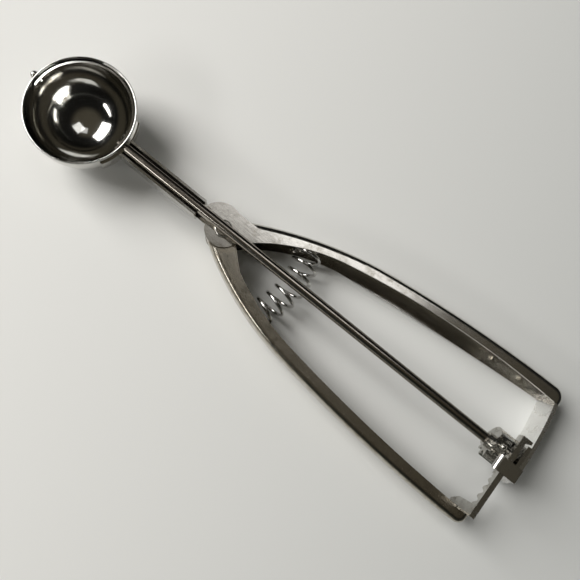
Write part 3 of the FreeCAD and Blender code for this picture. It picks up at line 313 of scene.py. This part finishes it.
@dataclass
class ScoopHead:
    """Bowl with its rolled lip, saddle and front pin, and the blade that sweeps it."""

    centre: Vector
    radius: float = 0.0208
    wall: float = 0.0009
    rim_height: float = 0.0024
    lip_crown: float = 0.0003
    lip_share: float = 0.36

    def build_lip(self, material: bpy.types.Material) -> bpy.types.Object:
        """Rolled lip that closes the top of the bowl's wall.

        The section is a flattened ellipse, narrower than the wall, and it is carried round a
        level circle through the middle of the wall.

        Args:
            material: Finish of the bowl.

        Returns:
            The lip, riding with the bowl.
        """
        turn = np.linspace(0.0, 2.0 * math.pi, 240, endpoint=False)[:, None]
        section = np.linspace(0.0, 2.0 * math.pi, 20, endpoint=False)[None, :]
        reach = self.radius - self.wall / 2 + np.cos(section) * self.wall * self.lip_share
        level = self.rim_height + np.sin(section) * self.lip_crown
        grid = np.stack([self.centre.x + reach * np.cos(turn), self.centre.y + reach * np.sin(turn),
                         self.centre.z + level + 0.0 * turn], -1)
        made = surface_mesh("bowl_lip", grid, (True, True))
        made.data.materials.append(material)
        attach(made, "frame")
        return made

    def build(self) -> None:
        """Dresses the bowl, its saddle, its pin and the blade, and adds the lip."""
        polished = POLISHED.material()
        dress(["bowl", "bowl_saddle", "front_pivot_pin"], polished)
        dress(["scraper"], BLADE.material())
        self.build_lip(polished)
        LOG.info("built bowl_lip")


@dataclass
class Neck:
    """Channel between bowl and handles, and the rod that lies in it."""

    def build(self) -> None:
        """Dresses the channel and the rod."""
        dress(["neck_channel"], NECK.material())
        dress(["spindle"], ROD.material())


@dataclass
class HandlePair:
    """The two bent sheet channels and the hinge that joins them."""

    def build(self) -> None:
        """Dresses the two handles, the neck's rivet and the hinge's rivet, tube and washer."""
        dress(["fixed_handle"], FIXED_SHEET.material())
        dress(["lever_handle"], LEVER_SHEET.material())
        dress(["pivot_rivet", "pivot_washer", "pivot_spacer", "neck_rivet"], RIVET.material())


@dataclass
class ReturnSpring:
    """Coiled wire between the handles, with a button at each end."""

    def build(self) -> None:
        """Dresses the wire and its two buttons."""
        dress(["return_spring"], COIL.material())
        dress(["spring_seat_fixed", "spring_seat_lever"], bpy.data.materials[RIVET.name])


@dataclass
class GearTail:
    """Gear, rack and the bent sheet pieces that carry them at the tail."""

    def build(self) -> None:
        """Dresses gear, rack, bracket, bridge and their fasteners."""
        dress(["pinion", "rack"], GEAR.material())
        dress(["tail_bracket"], BRACKET.material())
        dress(["bridge_plate"], PLATE.material())
        dress(["pinion_pin", "shaft_end_ring", "bridge_rivets", "bracket_rivets", "rack_rivets"],
              bpy.data.materials[RIVET.name])


@dataclass
class Tabletop:
    """Pale matt sheet on which the bowl's bottom and both tails rest, with painted shade greying its colour
    away from the light.
    """

    touch: Vector
    lean: float = 0.0156
    half_width: float = 4.0
    # Painted light: a lit tone and a shaded tone of the same paper, blended by place to paint the falloff of
    # the window light.
    painted_lit_tone: Colour = (0.77, 0.765, 0.74)
    painted_shade_tone: Colour = (0.60, 0.61, 0.595)
    painted_shade_turn: float = -0.32
    painted_shade_edge: tuple[float, float] = (-0.15, 0.25)

    def build(self) -> bpy.types.Object:
        """Level square turned about Y by the lean of the resting scoop.

        Returns:
            The floor, not attached to any body.
        """
        side = np.linspace(-self.half_width, self.half_width, 3)
        x, y = np.meshgrid(side, side, indexing="ij")
        grid = np.stack([self.touch.x + x * math.cos(self.lean), self.touch.y + y,
                         self.touch.z + x * math.sin(self.lean)], -1)
        made = surface_mesh("tabletop", grid, (False, False))
        made.data.materials.append(self._paper_with_painted_shade())
        return made

    def _paper_with_painted_shade(self) -> bpy.types.Material:
        """Matt paper whose colour carries painted shade: a little greyer away from the light."""
        made = bpy.data.materials.new("matt_paper")
        recipe = Recipe(made)
        # Painted shade mask: a ramp along a turned X axis blends the lit tone into the shaded tone.
        spot = recipe.place(turn=self.painted_shade_turn)
        across = recipe.node("ShaderNodeSeparateXYZ", {}, {0: spot}, "X")
        share = recipe.ramp(across, *self.painted_shade_edge)
        tone = recipe.blend(share, self.painted_lit_tone, self.painted_shade_tone)
        surface = recipe.node("ShaderNodeBsdfPrincipled", {}, {"Base Color": tone, "Roughness": 0.85,
                                                               "Specular IOR Level": 0.2})
        recipe.finish(surface)
        return made


@dataclass
class Panel:
    """Soft light that looks at the object, square unless it is stretched sideways."""

    name: str
    direction: Vector
    distance: float
    size: float
    power: float
    tint: Colour = (1.0, 1.0, 1.0)
    stretch: float = 1.0

    def build(self) -> bpy.types.Object:
        """Places the light on its direction from the origin and turns it there.

        Returns:
            The light.
        """
        lamp = bpy.data.lights.new(self.name, "AREA")
        lamp.shape = "RECTANGLE"
        lamp.size = self.size * self.stretch
        lamp.size_y = self.size
        lamp.energy = self.power
        lamp.color = self.tint
        made = bpy.data.objects.new(self.name, lamp)
        away = self.direction.normalized()
        made.location = away * self.distance
        made.rotation_mode = "QUATERNION"
        made.rotation_quaternion = away.to_track_quat("Z", "Y")
        bpy.context.scene.collection.objects.link(made)
        return made


@dataclass
class Room:
    """Surroundings: pale low walls, dark on the fixed handle's side, a dark band and a dim ceiling."""

    walls: Colour = (0.085, 0.093, 0.082)
    far_wall: Colour = (0.012, 0.013, 0.012)
    band: Colour = (0.010, 0.010, 0.009)
    ceiling: Colour = (0.080, 0.071, 0.052)
    side_edge: tuple[float, float] = (0.10, 0.50)
    band_edge: tuple[float, float] = (0.40, 0.50)
    ceiling_edge: tuple[float, float] = (0.78, 0.93)

    def build(self) -> None:
        """Writes the world's colour by height and side of the line of sight."""
        world = bpy.data.worlds.new("room")
        bpy.context.scene.world = world
        recipe = Recipe(world)
        ray = recipe.node("ShaderNodeTexCoord", {}, {}, "Generated")
        height = recipe.node("ShaderNodeSeparateXYZ", {}, {0: ray}, "Z")
        side = recipe.node("ShaderNodeSeparateXYZ", {}, {0: ray}, "Y")
        walls = recipe.blend(recipe.ramp(side, *self.side_edge), self.walls, self.far_wall)
        lower = recipe.blend(recipe.ramp(height, *self.band_edge), walls, self.band)
        tone = recipe.blend(recipe.ramp(height, *self.ceiling_edge), lower, self.ceiling)
        recipe.finish(recipe.node("ShaderNodeBackground", {}, {"Color": tone, "Strength": 1.0}),
                      "ShaderNodeOutputWorld")


@dataclass
class Viewpoint:
    """Camera above the scoop, a little to the lever's side."""

    place: Vector = Vector((0.00593, -0.03977, 0.24120))
    right: Vector = Vector((0.77918, 0.61829, 0.10291))
    down: Vector = Vector((0.62678, -0.76980, -0.12060))
    ahead: Vector = Vector((0.00466, 0.15847, -0.98735))
    lens: float = 37.24

    def build(self) -> bpy.types.Object:
        """Makes the scene's camera.

        Returns:
            The camera.
        """
        data = bpy.data.cameras.new("viewpoint")
        data.lens = self.lens
        data.sensor_width = 36.0
        data.clip_start = 0.01
        data.clip_end = 20.0
        made = bpy.data.objects.new("viewpoint", data)
        turn = Matrix((self.right, -self.down, -self.ahead)).transposed()
        made.matrix_world = Matrix.Translation(self.place) @ turn.to_4x4()
        bpy.context.scene.collection.objects.link(made)
        bpy.context.scene.camera = made
        return made


def main() -> None:
    """Loads the frame, dresses it piece by piece, lights it and points the camera."""
    logging.basicConfig(level=logging.INFO, format="%(message)s")
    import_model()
    view = bpy.context.scene.view_settings
    view.view_transform = "Standard"
    low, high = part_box("bowl")
    centre = Vector(((low.x + high.x) / 2, (low.y + high.y) / 2, low.z + ScoopHead.radius))
    ScoopHead(centre).build()
    Neck().build()
    HandlePair().build()
    ReturnSpring().build()
    GearTail().build()
    lean = Tabletop.lean
    touch = centre + Vector((math.sin(lean), 0.0, -math.cos(lean))) * ScoopHead.radius
    Tabletop(touch).build()
    Room().build()
    Panel("window", Vector((-1.0, -0.10, 0.90)), 1.7, 1.1, 34.5, (1.0, 0.99, 0.97)).build()
    Panel("ceiling", Vector((0.05, 0.385, 1.0)), 1.6, 0.54, 1.25).build()
    Panel("upper_window", Vector((-0.17, 0.30, 1.0)), 1.65, 0.36, 0.30).build()
    Panel("side_window", Vector((-0.40, -0.72, 0.55)), 1.3, 0.18, 2.4, (1.0, 0.99, 0.97), 3.2).build()
    Viewpoint().build()


if __name__ == "__main__":
    main()
